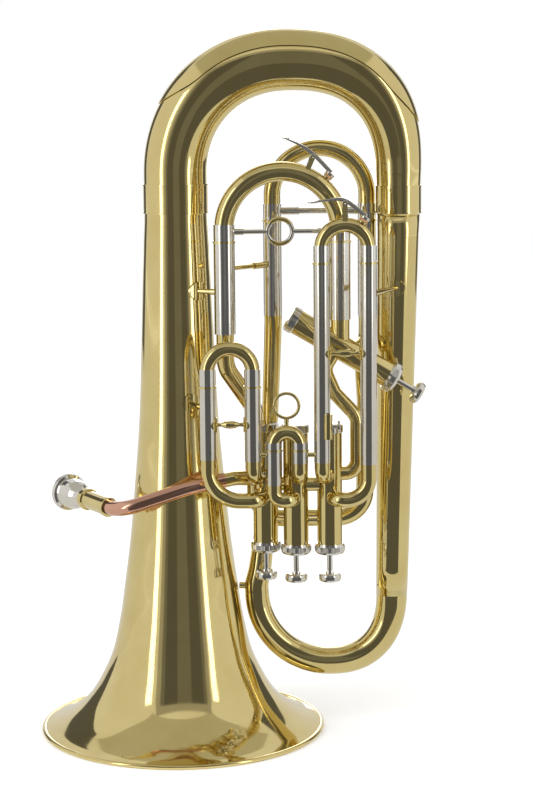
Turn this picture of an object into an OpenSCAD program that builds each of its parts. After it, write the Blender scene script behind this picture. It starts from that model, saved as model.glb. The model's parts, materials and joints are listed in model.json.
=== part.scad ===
// Four-valve euphonium (three valves plus one), standing upside down on its bell rim.
// Frame: origin at the centre of the bell mouth on the floor, +Z up along the bell axis,
// +X towards the outer branch, +Y towards the player (the mouthpiece side).
// All sizes in millimetres.

/* [Overall] */
// Diameter over the rolled bell rim
bell_diameter = 280; // [250:1:310]
// Height from the floor to the crest of the bow guard
overall_height = 685.5; // [672:0.5:760]
// Distance from the bell axis to the upper end of the outer branch
branch_spacing = 214.2; // [208:0.1:232]

/* [Main tube] */
// Outer radius where the bell meets the top bow
bell_throat_r = 30.4; // [28:0.1:34]
// Outer radius where the top bow meets the outer branch
branch_top_r = 21.1; // [18:0.1:23]
// Outer radius at the foot of the outer branch
branch_foot_r = 15.3; // [13:0.1:17]
// Outer radius of the lower bow at its small end
lower_bow_r = 11.8; // [10:0.1:13.5]
// Sheet thickness of the bell, the bows and the branches
sheet = 0.8; // [0.6:0.1:1.2]
// Squareness of the top bow on the bell side, 2 is a plain half circle
bow_square_bell = 2.1; // [2:0.05:2.8]
// Squareness of the top bow on the branch side
bow_square_branch = 2.45; // [2:0.05:2.8]
// Height of the two ends of the lower bow
lower_bow_z = 137; // [120:1:160]
// How far the middle of the lower bow drops below its ends
lower_bow_drop = 71.4; // [62:0.2:76]
// Half width of the bow guard round the tube, in degrees
guard_half_angle = 62; // [40:1:75]

/* [Valves] */
// Outer radius of the valve casings
casing_r = 12; // [11:0.1:13]
// Radius of the pistons
piston_r = 10.5; // [9:0.1:11]
// Radial clearance of a piston in its casing
piston_gap = 0.05; // [0.02:0.01:0.1]
// Floor to the underside of the lower valve caps
valve_foot_z = 186; // [180:1:195]
// Length of valves 1 to 3 over their caps
valve_length = 126.5; // [120:0.5:132]
// Length of valve 4 over its caps
valve_4_length = 119.5; // [105:0.1:128]
// Slope of valve 4 below level, in degrees
valve_4_slope = 31; // [20:1:40]
// Working travel of each piston
valve_travel = 17; // [12:0.5:18]
// Radius of the finger buttons
button_r = 10.7; // [8:0.1:12]

/* [Slides] */
// Outer radius of the sliding legs of valve slides 1 to 3
leg_r = 6.9; // [6:0.1:7.4]
// Outer radius of the sliding legs of the fourth slide
leg_4_r = 9.3; // [8:0.1:9.8]
// Outer radius of the sliding legs of the main tuning slide
leg_main_r = 8.1; // [7:0.1:8.4]
// Radial clearance of a sliding leg in its sleeve
slide_gap = 0.06; // [0.02:0.01:0.1]
// Wall of the small tubes
tube_wall = 0.7; // [0.5:0.1:1]
// Wall of the outer sleeves
sleeve_wall = 0.8; // [0.6:0.1:1.1]
// How far the fourth slide reaches above the floor
slide_4_top = 561.2; // [545:0.1:575]
// How far the main tuning slide reaches above the floor
slide_main_top = 579.7; // [565:0.1:584]

/* [Leadpipe and mouthpiece] */
// Outer radius of the leadpipe
leadpipe_r = 7.1; // [6:0.1:7.6]
// Length of the mouthpiece receiver
receiver_length = 52; // [40:1:60]
// Outer radius of the mouthpiece rim
mouthpiece_r = 18.4; // [16:0.1:20]
// How far the mouthpiece stands out of its receiver
mouthpiece_reach = 41; // [34:1:50]

/* [Display] */
// Part to draw

/* [Hidden] */
$fn = 48;
eps = 0.01;

// Flare of the bell: height share, then share of the flare still left
FLARE = [
    [0.0066, 0.975], [0.0134, 0.880], [0.0290, 0.742], [0.0530, 0.604], [0.0800, 0.508],
    [0.1107, 0.428], [0.1393, 0.367], [0.1680, 0.324], [0.2250, 0.268], [0.2844, 0.226],
    [0.3416, 0.188], [0.3990, 0.156], [0.5134, 0.105], [0.5690, 0.082], [0.6510, 0.060],
    [0.7940, 0.034], [0.9070, 0.013], [0.9620, 0.000], [1.0, 0.000]
];

// Bell and bows; the taper holds angles round the top bow and the share of the bell's throat
BOW_TAPER = [[0, 0.02], [18, 0.24], [40, 0.58], [60, 0.74], [90, 0.85], [135, 0.98], [180, 1]];
guard_t = 1.2;
guard_gap = 0.45;
bow_rise = 107.8;
bow_half = branch_spacing / 2;
bow_z = overall_height - guard_t - bow_tube_r(90) - bow_rise;
bell_joint_z = bow_z - 22.3;
ferrule_len = 27.8;
ferrule_t = 0.8;
branch_joint_z = bow_z - 24.8;
branch_foot_x = branch_spacing - 6.4;
// Clear of the flare below the foot of the inner branch
bow_air = 11.45;
inner_foot_x = bell_r(lower_bow_z - 37) + bow_air;
lower_bow_mid_x = (inner_foot_x + branch_foot_x) / 2 + 3.8;

// Rim bead, flattened where it rests on the floor
bead_r = 2.3;
bead_z = 2.0;

// Valve places: axis x, axis y
V1 = [84, -38];
valve_air_12 = 7.4;
valve_air_23 = 8.3;
V2 = [V1[0] + tenth(sqrt(pow(2 * casing_r + valve_air_12, 2) - 144)), -50];
V3 = [V2[0] + 2 * casing_r + valve_air_23, -50];
VALVES = [V1, V2, V3];
cap_len = 8;
lower_cap_len = 10.4;
lower_cap_r = casing_r + 2.4;
upper_cap_r = casing_r + 1.1;
casing_bore = piston_r + piston_gap;
stem_r = 2.6;
felt_gap = 1;
piston_len = 82;
port_hi = 264;
port_lo = 243;
// Sideways offset of each slide's lower port from its casing axis
port_side = [-4.4, -3.6, 4.2];
knuckle_z = 254;
button_h = 8;
button_air = 24.3;

// Valve 4: centre of its upper cap's face and the axis down to its button
V4_TOP = [107.9, -38, 413.5];
V4_DIR = [cos(valve_4_slope), 0, -sin(valve_4_slope)];
V4_DOWN = [-sin(valve_4_slope), 0, -cos(valve_4_slope)];

// Slides: left leg x, right leg x, y, sleeve foot left, sleeve foot right, sleeve mouth, top
front_y = -74;
// The main slide stands behind the branch ferrule
main_y = 10;
slide_air = [5.7, 10.9, 7.5];
S1 = [30.2, 72.5, front_y, 283.2, 281.4, 353.3, 395.5];
s2_left = tenth(S1[1] + 2 * leg_r + slide_air[0]);
s2_right = tenth(s2_left + 2 * leg_r + slide_air[1]);
s3_left = tenth(s2_right + 2 * leg_r + slide_air[2]);
S2 = [s2_left, s2_right, front_y, 258.1, 279.1, 292.6, 315.6];
S3 = [s3_left, s3_left + 43.8, front_y, 279.8, 277.5, 469.2, 510.7];
S4 = [46.8, 156.2, -38, 398.0, 411.4, 486.7, slide_4_top];
SM = [92.6, 184.0, main_y, 410.2, 409.0, 503.0, slide_main_top];
collar_1 = 16;
collar_2 = 6.3;
collar_3 = 15.6;
collar_4 = 15.6;
collar_main = 15.2;

// Leadpipe route
REC_DIR = [0.507, -0.862, 0];
LP_CORNER = [-56, -57.5, 230.5];
LP_START = LP_CORNER - 21 * REC_DIR;
LP_BEND = [14, -57.5, 253.5];
LP_END = [45, -50.5, 258.5];
LP_TURN = LP_END + unit(LP_END - LP_BEND) * 10.5;
port_lead = 256.6;
REC_START = LP_START - receiver_length * REC_DIR;

// ---------- vector helpers ----------
function unit(v) = v / norm(v);
function tenth(v) = round(v * 10) / 10;
function angle(a, b) = acos(max(-1, min(1, a * b / (norm(a) * norm(b)))));
function lerp(a, b, t) = a + (b - a) * t;
function cr(a, b, c, d, t) = 0.5 * ((2 * b) + (c - a) * t + (2 * a - 5 * b + 4 * c - d) * t * t
    + (3 * b - a - 3 * c + d) * t * t * t);
function spline(c, n) = concat(
    [for (i = [0:len(c) - 2]) for (j = [0:n - 1])
        cr(c[max(i - 1, 0)], c[i], c[i + 1], c[min(i + 2, len(c) - 1)], j / n)],
    [c[len(c) - 1]]);
function slice_from(p, a, b) = [for (i = [a:b]) p[i]];
function table(t, x, i = 0) = i >= len(t) - 2 || x <= t[i + 1][0]
    ? lerp(t[i][1], t[i + 1][1], (x - t[i][0]) / (t[i + 1][0] - t[i][0]))
    : table(t, x, i + 1);

// ---------- placing helpers ----------
// Turns +Z onto direction d and moves to p
module aim(p, d) {
    translate(p)
        rotate([0, acos(max(-1, min(1, d[2] / norm(d)))), (abs(d[0]) + abs(d[1])) < 1e-9 ? 0 : atan2(d[1], d[0])])
            children();
}

module rod(a, b, r) {
    aim(a, b - a) cylinder(r = r, h = norm(b - a));
}

// One quarter or other arc of a round bar between two straights that meet at p
module bend(p, d0, d1, rb, r) {
    a = angle(d0, d1);
    n = unit(d1 - d0 * (d0 * d1));
    start = p - d0 * rb * tan(a / 2);
    c = start + n * rb;
    ax = -n;
    ay = d0;
    az = cross(ax, ay);
    multmatrix([
        [ax[0], ay[0], az[0], c[0]],
        [ax[1], ay[1], az[1], c[1]],
        [ax[2], ay[2], az[2], c[2]],
        [0, 0, 0, 1]
    ])
        rotate_extrude(angle = a) translate([rb, 0]) circle(r = r);
}

// Round bar along a route; rb holds one bend radius for each inner point
module route(pts, rb, r) {
    n = len(pts);
    dirs = [for (i = [0:n - 2]) unit(pts[i + 1] - pts[i])];
    cut = [for (i = [0:n - 1]) i == 0 || i == n - 1 ? 0
        : rb[i - 1] * tan(angle(dirs[i - 1], dirs[i]) / 2)];
    for (i = [0:n - 2]) {
        a = pts[i] + dirs[i] * cut[i];
        b = pts[i + 1] - dirs[i] * cut[i + 1];
        if (norm(pts[i + 1] - pts[i]) > cut[i] + cut[i + 1] + 0.001) rod(a, b, r);
    }
    for (i = [1:1:n - 2]) bend(pts[i], dirs[i - 1], dirs[i], rb[i - 1], r);
}

// Moves both ends of a route outwards by e
function longer(pts, e) = [for (i = [0:len(pts) - 1])
    i == 0 ? pts[0] - unit(pts[1] - pts[0]) * e
    : i == len(pts) - 1 ? pts[i] + unit(pts[i] - pts[i - 1]) * e
    : pts[i]];

module pipe(pts, rb, r, wall) {
    difference() {
        route(pts, rb, r);
        route(longer(pts, 1), rb, r - wall);
    }
}

// Points along a route, with n steps in every bend
function arc_pts(p, d0, d1, rb, n) = let (
    a = angle(d0, d1),
    m = unit(d1 - d0 * (d0 * d1)),
    c = p - d0 * rb * tan(a / 2) + m * rb)
    [for (k = [0:n]) c + rb * (d0 * sin(a * k / n) - m * cos(a * k / n))];
function path_of(pts, rb, n) = concat([pts[0]],
    [for (i = [1:len(pts) - 2]) each
        arc_pts(pts[i], unit(pts[i] - pts[i - 1]), unit(pts[i + 1] - pts[i]), rb[i - 1], n)],
    [pts[len(pts) - 1]]);
function tangents(path) = let (n = len(path))
    [for (i = [0:n - 1]) unit(path[min(i + 1, n - 1)] - path[max(i - 1, 0)])];
// Side direction that turns as little as possible along the path
function carry(t, i) = i == 0
    ? unit(cross(t[0], abs(t[0][2]) < 0.9 ? [0, 0, 1] : [1, 0, 0]))
    : let (w = carry(t, i - 1)) unit(w - t[i] * (w * t[i]));

// Closed skin of a tube: t tangents, w side directions, rad outer radii
module tube_skin(path, t, w, rad, wall, sides) {
    n = len(path);
    u = [for (i = [0:n - 1]) cross(w[i], t[i])];
    outer = [for (i = [0:n - 1]) for (k = [0:sides - 1])
        path[i] + rad[i] * (cos(360 * k / sides) * u[i] + sin(360 * k / sides) * w[i])];
    inner = [for (i = [0:n - 1]) for (k = [0:sides - 1])
        path[i] + (rad[i] - wall) * (cos(360 * k / sides) * u[i] + sin(360 * k / sides) * w[i])];
    m = n * sides;
    faces = concat(
        [for (i = [0:n - 2]) for (k = [0:sides - 1])
            let (a = i * sides + k, b = i * sides + (k + 1) % sides)
            each [[a, b, b + sides], [a, b + sides, a + sides]]],
        [for (i = [0:n - 2]) for (k = [0:sides - 1])
            let (a = m + i * sides + k, b = m + i * sides + (k + 1) % sides)
            each [[b, a, b + sides], [a, a + sides, b + sides]]],
        [for (k = [0:sides - 1])
            let (a = k, b = (k + 1) % sides)
            each [[b, a, m + a], [b, m + a, m + b]]],
        [for (k = [0:sides - 1])
            let (a = (n - 1) * sides + k, b = (n - 1) * sides + (k + 1) % sides)
            each [[a, b, m + b], [a, m + b, m + a]]]);
    polyhedron(points = concat(outer, inner), faces = [for (f = faces) [f[2], f[1], f[0]]], convexity = 6);
}

// Hollow tapered tube along a path that lies close to the XZ plane
module sweep(path, rad, wall, sides) {
    t = tangents(path);
    w = [for (d = t) unit([0, 1, 0] - d * d[1])];
    tube_skin(path, t, w, rad, wall, sides);
}

// Hollow tube of one radius along a route that turns in space
module bent_tube(pts, rb, r, wall, sides, steps) {
    path = path_of(pts, rb, steps);
    t = tangents(path);
    w = [for (i = [0:len(path) - 1]) carry(t, i)];
    tube_skin(path, t, w, [for (p = path) r], wall, sides);
}

// ---------- main tube ----------
function bell_pt(f) = [
    bell_throat_r + (bell_diameter / 2 - bell_throat_r) * f[1],
    bell_joint_z * f[0]
];
function bell_r(z) = table([for (f = FLARE) [bell_joint_z * f[0], bell_pt(f)[0]]], z);
BELL_OUT = spline([for (f = FLARE) bell_pt(f)], 3);
BELL_IN = [for (i = [0:len(BELL_OUT) - 1])
    let (t = unit(BELL_OUT[min(i + 1, len(BELL_OUT) - 1)] - BELL_OUT[max(i - 1, 0)]))
    BELL_OUT[i] + sheet * [-t[1], t[0]]];

module bell() {
    color("gold") difference() {
        union() {
            rotate_extrude($fn = 96)
                polygon(concat(BELL_OUT, [for (i = [len(BELL_IN) - 1:-1:0]) BELL_IN[i]]));
            rotate_extrude($fn = 96)
                translate([bell_diameter / 2 - bead_r, bead_z]) circle(r = bead_r, $fn = 24);
        }
        translate([0, 0, -5]) cylinder(r = bell_diameter, h = 5);
    }
}

module ferrule(p, d, r, len) {
    aim(p, d) difference() {
        union() {
            cylinder(r = r + ferrule_t, h = len);
            for (z = [0.6, len - 0.6])
                translate([0, 0, z - 0.6]) cylinder(r = r + ferrule_t + 0.5, h = 1.2);
        }
        translate([0, 0, -1]) cylinder(r = r + 0.03, h = len + 2);
    }
}

module bell_ferrule() {
    color("gold") ferrule([0, 0, bell_joint_z - 13.9], [0, 0, 1], bell_throat_r, ferrule_len);
}

// Top bow: polar curve about the middle of the instrument
function oval(a, w, h, n) = pow(pow(abs(cos(a)) / w, n) + pow(abs(sin(a)) / h, n), -1 / n);
function bow_rad(a) = oval(a, bow_half, bow_rise, a > 90 ? bow_square_bell : bow_square_branch);
function bow_pt(a) = [bow_half + bow_rad(a) * cos(a), 0, bow_z + bow_rad(a) * sin(a)];
function bow_tube_r(a) = lerp(branch_top_r, bell_throat_r, table(BOW_TAPER, a));
bow_steps = 26;
BOW_PATH = concat(
    [[0, 0, bell_joint_z], [0, 0, (bell_joint_z + bow_z) / 2]],
    [for (i = [0:bow_steps]) bow_pt(180 - 180 * i / bow_steps)],
    [[branch_spacing, 0, bow_z - 12], [branch_spacing, 0, branch_joint_z]]);
BOW_RAD = concat([bell_throat_r, bell_throat_r],
    [for (i = [0:bow_steps]) bow_tube_r(180 - 180 * i / bow_steps)],
    [branch_top_r, branch_top_r]);

module top_bow() {
    color("gold") sweep(BOW_PATH, BOW_RAD, sheet, 36);
}

// Bow guard: a plate that lies on the outside of the bow, pointed at both ends
guard_from = 151;
guard_to = 22;
function guard_w(a) = guard_half_angle
    * pow(sin(90 * min(1, min(guard_from - a, a - guard_to) / 20)), 0.6);

module bow_guard() {
    n = 26;
    m = 12;
    angs = [for (i = [0:n]) lerp(guard_from - 0.4, guard_to + 0.4, i / n)];
    function nrm(a) = unit(cross([0, 1, 0], bow_pt(a - 0.5) - bow_pt(a + 0.5)));
    function gp(a, j, off) = let (
        g = guard_w(a) * (2 * j / m - 1),
        q = -nrm(a) * sign(nrm(a) * (bow_pt(a) - [bow_half, 0, bow_z])) * -1)
        bow_pt(a) + (bow_tube_r(a) + off) * (cos(g) * q + sin(g) * [0, 1, 0]);
    lo = [for (a = angs) for (j = [0:m]) gp(a, j, guard_gap)];
    hi = [for (a = angs) for (j = [0:m]) gp(a, j, guard_t)];
    s = m + 1;
    k = (n + 1) * s;
    faces = concat(
        [for (i = [0:n - 1]) for (j = [0:m - 1])
            let (a = i * s + j) each [[a, a + 1, a + s + 1], [a, a + s + 1, a + s]]],
        [for (i = [0:n - 1]) for (j = [0:m - 1])
            let (a = k + i * s + j) each [[a + 1, a, a + s + 1], [a, a + s, a + s + 1]]],
        [for (i = [0:n - 1])
            let (a = i * s, b = i * s + m)
            each [[a, a + s, k + a + s], [a, k + a + s, k + a],
                [b + s, b, k + b], [b + s, k + b, k + b + s]]],
        [for (j = [0:m - 1])
            let (a = j, b = n * s + j)
            each [[a + 1, a, k + a], [a + 1, k + a, k + a + 1],
                [b, b + 1, k + b + 1], [b, k + b + 1, k + b]]]);
    color("gold") polyhedron(points = concat(lo, hi), faces = [for (f = faces) [f[2], f[1], f[0]]], convexity = 4);
}

module branch_ferrule() {
    color("gold") ferrule([branch_spacing, 0, branch_joint_z - 13.2], [0, 0, 1], branch_top_r, 26.4);
}

module outer_branch() {
    a = [branch_spacing, 0, branch_joint_z];
    b = [branch_foot_x, 0, lower_bow_z];
    z_mid = branch_joint_z - 15;
    color("gold") sweep(
        [a, [branch_spacing, 0, z_mid], [branch_spacing - 0.4, 0, z_mid - 20],
            [branch_foot_x + 0.5, 0, lower_bow_z + 25], [branch_foot_x, 0, lower_bow_z + 8], b],
        [branch_top_r, branch_top_r - 0.3, branch_top_r - 1.2,
            branch_foot_r + 0.5, branch_foot_r + 0.1, branch_foot_r], sheet, 36);
}

module lower_bow() {
    n = 19;
    path = [for (i = [0:n]) let (
        a = 180 * i / n,
        w = a < 90 ? branch_foot_x - lower_bow_mid_x : lower_bow_mid_x - inner_foot_x,
        q = oval(a, w, lower_bow_drop, a < 90 ? 2.4 : 2))
        [lower_bow_mid_x + q * cos(a), 0, lower_bow_z - q * sin(a)]];
    r = [for (i = [0:n]) lerp(branch_foot_r, lower_bow_r, i / n)];
    full = concat([path[0]], [path[0] - [0, 0, 0.5]], slice_from(path, 1, n - 1),
        [path[n] - [0, 0, 0.5]], [path[n]]);
    rr = concat([r[0]], [r[0]], slice_from(r, 1, n - 1), [r[n]], [r[n]]);
    color("gold") sweep(full, rr, sheet, 28);
}

INNER = [
    [SM[0], main_y, SM[3], 8.7], [SM[0], main_y, SM[3] - 12, 8.6], [91.2, main_y - 0.5, 362, 8.4],
    [88.9, 8, 310, 8.1], [86.6, 6.5, 255, 8.7], [inner_foot_x + 8.6, 4.5, 208, 9.6],
    [inner_foot_x + 3.8, 1.2, 164, 11.1], [inner_foot_x, 0, lower_bow_z + 8, lower_bow_r - 0.1], [inner_foot_x, 0, lower_bow_z, lower_bow_r]
];

module inner_branch() {
    line = spline(INNER, 2);
    pts = concat(slice_from(line, 0, len(line) - 2),
        [[inner_foot_x, 0, lower_bow_z + 0.5, lower_bow_r]], [line[len(line) - 1]]);
    color("gold") sweep([for (p = pts) [p[0], p[1], p[2]]], [for (p = pts) p[3]], sheet, 28);
}

// ---------- leadpipe and mouthpiece ----------
module leadpipe() {
    color("peru")
        bent_tube([LP_START, LP_CORNER, LP_BEND, LP_END], [34, 60], leadpipe_r, tube_wall, 24, 7);
}

module leadpipe_tail() {
    color("gold") difference() {
        bent_tube([LP_END, LP_TURN, [V1[0], V1[1] + 4, port_lead]], [18], leadpipe_r, tube_wall, 24, 5);
        casing_cut(V1);
    }
}

module receiver() {
    h = receiver_length;
    color("gold") aim(REC_START, REC_DIR) rotate_extrude() polygon([
        [6.1, 0], [10.2, 0], [10.6, 0.8], [10.6, 6.5], [10.2, 7.3], [8.9, 8.4], [8.9, h - 8],
        [9.5, h - 7], [9.5, h - 1], [8.9, h], [leadpipe_r - tube_wall, h], [5.4, h - 26]
    ]);
}

module mouthpiece() {
    m = mouthpiece_reach;
    r = mouthpiece_r;
    color("silver") aim(REC_START, -REC_DIR) rotate_extrude() polygon([
        [3.6, -24], [5.45, -24], [6.05, 0], [6.3, 3], [6.6, 6], [7.4, 9], [9.2, 12],
        [11.8, 15.5], [13.8, 19.5], [14.8, 24], [15.0, 28], [15.2, m - 6.5], [r - 0.9, m - 5.4],
        [r, m - 3.8], [r, m - 1.8], [r - 1.2, m - 0.5], [r - 2.9, m], [r - 4.3, m - 0.5],
        [r - 5.3, m - 2], [r - 5.7, m - 6], [11.6, m - 12], [9.0, m - 18], [5.6, m - 24],
        [3.5, m - 28], [3.1, m - 31], [3.0, 0]
    ]);
}

// ---------- valves ----------
module casing_body(len) {
    difference() {
        cylinder(r = casing_r, h = len);
        translate([0, 0, -1]) cylinder(r = casing_bore, h = len + 2);
    }
}
casing_z0 = valve_foot_z + 3;
casing_len = valve_length - 6;

// A port hole from the outside point p to the axis of valve v at height z
module port(v, from, z, r) {
    d = unit([v[0] - from[0], v[1] - from[1], 0]);
    rod([v[0], v[1], z] - d * (casing_r + 4), [v[0], v[1], z] - d * 4, r);
}

module valve_casing(v, ports, off) {
    difference() {
        translate([v[0], v[1], casing_z0]) casing_body(casing_len);
        for (p = ports) port(v, p[0], p[1], p[2]);
        rod([v[0] + off, v[1] - casing_r - 4, port_lo], [v[0] + off, v[1] - 4, port_lo], port_r);
    }
}
port_r = leg_r - tube_wall - 0.3;
module valve_casing_1() {
    color("gold") valve_casing(V1,
        [[LP_TURN, port_lead + 1.4, port_r], [[S1[1], front_y], port_hi, port_r], [V2, knuckle_z, port_r]],
        port_side[0]);
}
module valve_casing_2() {
    color("gold") valve_casing(V2,
        [[[S2[1], front_y], port_hi, port_r], [V1, knuckle_z, port_r], [V3, knuckle_z, port_r]],
        port_side[1]);
}
module valve_casing_3() {
    color("gold") valve_casing(V3,
        [[[S3[0], front_y], port_hi, port_r], [V2, knuckle_z, port_r], [[V3[0] + 40, -46], port_hi, port_r]],
        port_side[2]);
}
function v4(t) = V4_TOP + V4_DIR * t;
t_foot4 = (S4[1] - V4_TOP[0]) / V4_DIR[0];
t_main = 66;
t_cross = 54;
t_return = 82;
cross_x = V3[0] + casing_r + 14.7;
CROSS = [v4(t_cross), v4(t_cross) + V4_DOWN * 26, [150.5, -41, 341], [cross_x, -45.5, 318],
    [cross_x, -46.5, port_hi], [V3[0], V3[1], port_hi]];
return_r = leg_r + 1.6;
return_y = V1[1] + casing_r + return_r + 1.2;
RETURN = [[S4[0], S4[2], S4[3]], [S4[0], S4[2], 366], [74.3, return_y - 2.2, 322], [74.3, return_y, 214],
    [180.3, return_y, 214], [181, -26, 330], v4(t_return)];
FOOT_MAIN = [[SM[1], SM[2], SM[4]], [SM[1], SM[2] - 1.5, v4(t_main)[2] + 2], v4(t_main)];
module valve_casing_4() {
    color("gold") difference() {
        aim(v4(3), V4_DIR) casing_body(valve_4_length - 6);
        rod(v4(t_foot4) + [0, 0, 5], v4(t_foot4) + [0, 0, 17], leg_4_r - tube_wall - 0.8);
        rod(v4(t_cross) + V4_DOWN * 5, v4(t_cross) + V4_DOWN * 15, port_r);
        rod(lerp(v4(t_main), FOOT_MAIN[1], 0.11), lerp(v4(t_main), FOOT_MAIN[1], 0.4), port_r + 0.6);
        rod(lerp(v4(t_return), RETURN[5], 0.11), lerp(v4(t_return), RETURN[5], 0.4), port_r + 0.8);
    }
}

// Caps: a ring that closes one end of a casing; the casing end sits 5 mm deep in it
module upper_cap_body() {
    rotate_extrude() polygon([
        [0, 0], [upper_cap_r - 1.6, 0], [upper_cap_r, 1.2], [upper_cap_r, cap_len - 0.6],
        [upper_cap_r - 0.6, cap_len], [casing_r + 0.03, cap_len], [casing_r + 0.03, 2.97], [0, 2.97]
    ]);
}
module lower_cap_body() {
    r = lower_cap_r;
    rotate_extrude() polygon([
        [stem_r + 0.06, 0], [r - 3.2, 0], [r - 1, 1], [r, 2.8], [r, lower_cap_len - 2.2],
        [r - 0.9, lower_cap_len], [casing_r + 0.03, lower_cap_len], [casing_r + 0.03, 2.97],
        [stem_r + 0.06, 2.97]
    ]);
}
module upper_cap(v) {
    color("silver") translate([v[0], v[1], valve_foot_z + valve_length]) mirror([0, 0, 1]) upper_cap_body();
}
module upper_cap_1() { upper_cap(V1); }
module upper_cap_2() { upper_cap(V2); }
module upper_cap_3() { upper_cap(V3); }
module upper_cap_4() { color("silver") aim(V4_TOP, V4_DIR) upper_cap_body(); }
module lower_cap(v) {
    color("silver") translate([v[0], v[1], valve_foot_z]) lower_cap_body();
}
module lower_cap_1() { lower_cap(V1); }
module lower_cap_2() { lower_cap(V2); }
module lower_cap_3() { lower_cap(V3); }
module lower_cap_4() { color("silver") aim(v4(valve_4_length), -V4_DIR) lower_cap_body(); }

// Piston with its stem, drawn along +Z from the underside of its lower cap; holes at the port heights
module piston_body(holes) {
    z0 = 3 + felt_gap;
    difference() {
        union() {
            translate([0, 0, z0]) cylinder(r = piston_r, h = piston_len);
            translate([0, 0, -button_air]) cylinder(r = stem_r, h = button_air + z0 + 1);
        }
        for (h = holes)
            translate([0, 0, h[0]]) rotate([0, 90, h[1]])
                translate([0, 0, -15]) cylinder(r = h[2], h = 30);
        translate([0, 0, z0 + piston_len - 8]) cylinder(r = piston_r - 2, h = 9);
    }
}
module piston(v) {
    color("silver") translate([v[0], v[1], valve_foot_z])
        piston_body([[port_hi - valve_foot_z, 0, 5.6], [port_lo - valve_foot_z - 2, 70, 5.4], [28, 130, 5.6]]);
}
module piston_1() { piston(V1); }
module piston_2() { piston(V2); }
module piston_3() { piston(V3); }
module piston_4() {
    color("silver") aim(v4(valve_4_length), -V4_DIR)
        piston_body([[62, 0, 5.6], [45, 70, 5.4], [28, 130, 5.6]]);
}

module button_body() {
    r = button_r;
    h = button_h;
    rotate_extrude() polygon([
        [0, 0], [r - 2.6, 0], [r - 0.8, 0.8], [r, 2.4], [r, h - 2.4], [r - 0.8, h - 0.8],
        [r - 2.6, h], [4.4, h], [3.9, h + 2], [stem_r + 0.03, h + 2], [stem_r + 0.03, 3], [0, 3]
    ]);
}
module button(v) {
    color("silver") translate([v[0], v[1], valve_foot_z - button_air - 3 ]) button_body();
}
module button_1() { button(V1); }
module button_2() { button(V2); }
module button_3() { button(V3); }
module button_4() { color("silver") aim(v4(valve_4_length + button_air + 3), -V4_DIR) button_body(); }

module knuckle(a, b) {
    pa = [a[0], a[1], knuckle_z];
    pb = [b[0], b[1], knuckle_z];
    difference() {
        rod(pa, pb, leg_r);
        rod(pa, pb, leg_r - tube_wall);
        for (v = [a, b]) translate([v[0], v[1], 220]) cylinder(r = casing_r, h = 60);
    }
}
module valve_knuckles() {
    color("gold") {
        knuckle(V1, V2);
        knuckle(V2, V3);
    }
}

// ---------- slides ----------
module sleeve_pair(s, leg) {
    ri = leg + slide_gap;
    ro = ri + sleeve_wall;
    for (i = [0, 1])
        translate([s[i], s[2], s[3 + i]]) difference() {
            union() {
                cylinder(r = ro, h = s[5] - s[3 + i]);
                translate([0, 0, s[5] - s[3 + i] - 1.8]) cylinder(r = ro + 0.8, h = 1.8);
            }
            translate([0, 0, -1]) cylinder(r = ri, h = s[5] - s[3 + i] + 2);
        }
}
module sleeves_1() { color("lightgray") sleeve_pair(S1, leg_r); }
module sleeves_2() { color("lightgray") sleeve_pair(S2, leg_r); }
module sleeves_3() { color("lightgray") sleeve_pair(S3, leg_r); }
module sleeves_4() { color("lightgray") sleeve_pair(S4, leg_4_r); }
module sleeves_main() { color("lightgray") sleeve_pair(SM, leg_main_r); }

// A U-shaped slide: two legs, their collars and the bow between them
module slide_body(s, leg, collar, depth) {
    half = (s[1] - s[0]) / 2;
    zt = s[6] - leg;
    pts = [[s[0], s[2], s[5] - depth], [s[0], s[2], zt], [s[1], s[2], zt], [s[1], s[2], s[5] - depth]];
    rb = [half, half];
    difference() {
        union() {
            route(pts, rb, leg);
            for (i = [0, 1]) translate([s[i], s[2], s[5] + 0.1])
                cylinder(r = leg + sleeve_wall, h = collar);
        }
        route(longer(pts, 1), rb, leg - tube_wall);
    }
}

module slide_1() { color("gold") slide_body(S1, leg_r, collar_1, 58); }
pull_ring_r = 11.7;
pull_ring_lift = 6.7;
module slide_2() {
    xc = (S2[0] + S2[1]) / 2;
    color("gold") union() {
        slide_body(S2, leg_r, collar_2, 9);
        difference() {
            translate([xc, front_y, S2[6] + pull_ring_r + pull_ring_lift]) rotate([90, 0, 0])
                rotate_extrude() translate([pull_ring_r, 0]) circle(r = 1.5, $fn = 16);
            translate([xc - 20, front_y - 5, S2[6] - 20]) cube([40, 10, 19.5]);
        }
        translate([xc, front_y, S2[6] - 0.6]) cylinder(r = 2.2, h = pull_ring_lift - 0.2);
    }
}

// Water key seat on a bow: a nipple under the cork and two posts that carry the hinge pin
key_pin_r = 1.2;
key_gap = 0.05;
key_3_lift = 13.4;
key_4_lift = 10.2;
key_3_pin_a = 90;
key_4_pin_a = 66.5;
module key_seat(c, y, r_out, leg, a_pin, r_pin, a_cork, half) {
    translate([c[0], y, c[1]]) rotate([0, -a_pin, 0]) difference() {
        for (sy = [-1, 1]) {
            translate([r_out - 4, sy * half - 0.9, -2.4]) cube([r_pin - r_out + 4, 1.8, 4.8]);
            translate([r_pin, sy * half + 0.9, 0]) rotate([90, 0, 0]) cylinder(r = 2.4, h = 1.8);
        }
        translate([r_pin, half + 5, 0]) rotate([90, 0, 0]) cylinder(r = key_pin_r + key_gap, h = 2 * half + 10);
        rotate([90, 0, 0]) rotate_extrude() translate([r_out - leg, 0]) circle(r = leg - 0.2);
    }
    aim([c[0] + (r_out - 0.5) * cos(a_cork), y, c[1] + (r_out - 0.5) * sin(a_cork)],
        [cos(a_cork), 0, sin(a_cork)]) cylinder(r = 3.6, h = 1.7);
}

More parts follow.
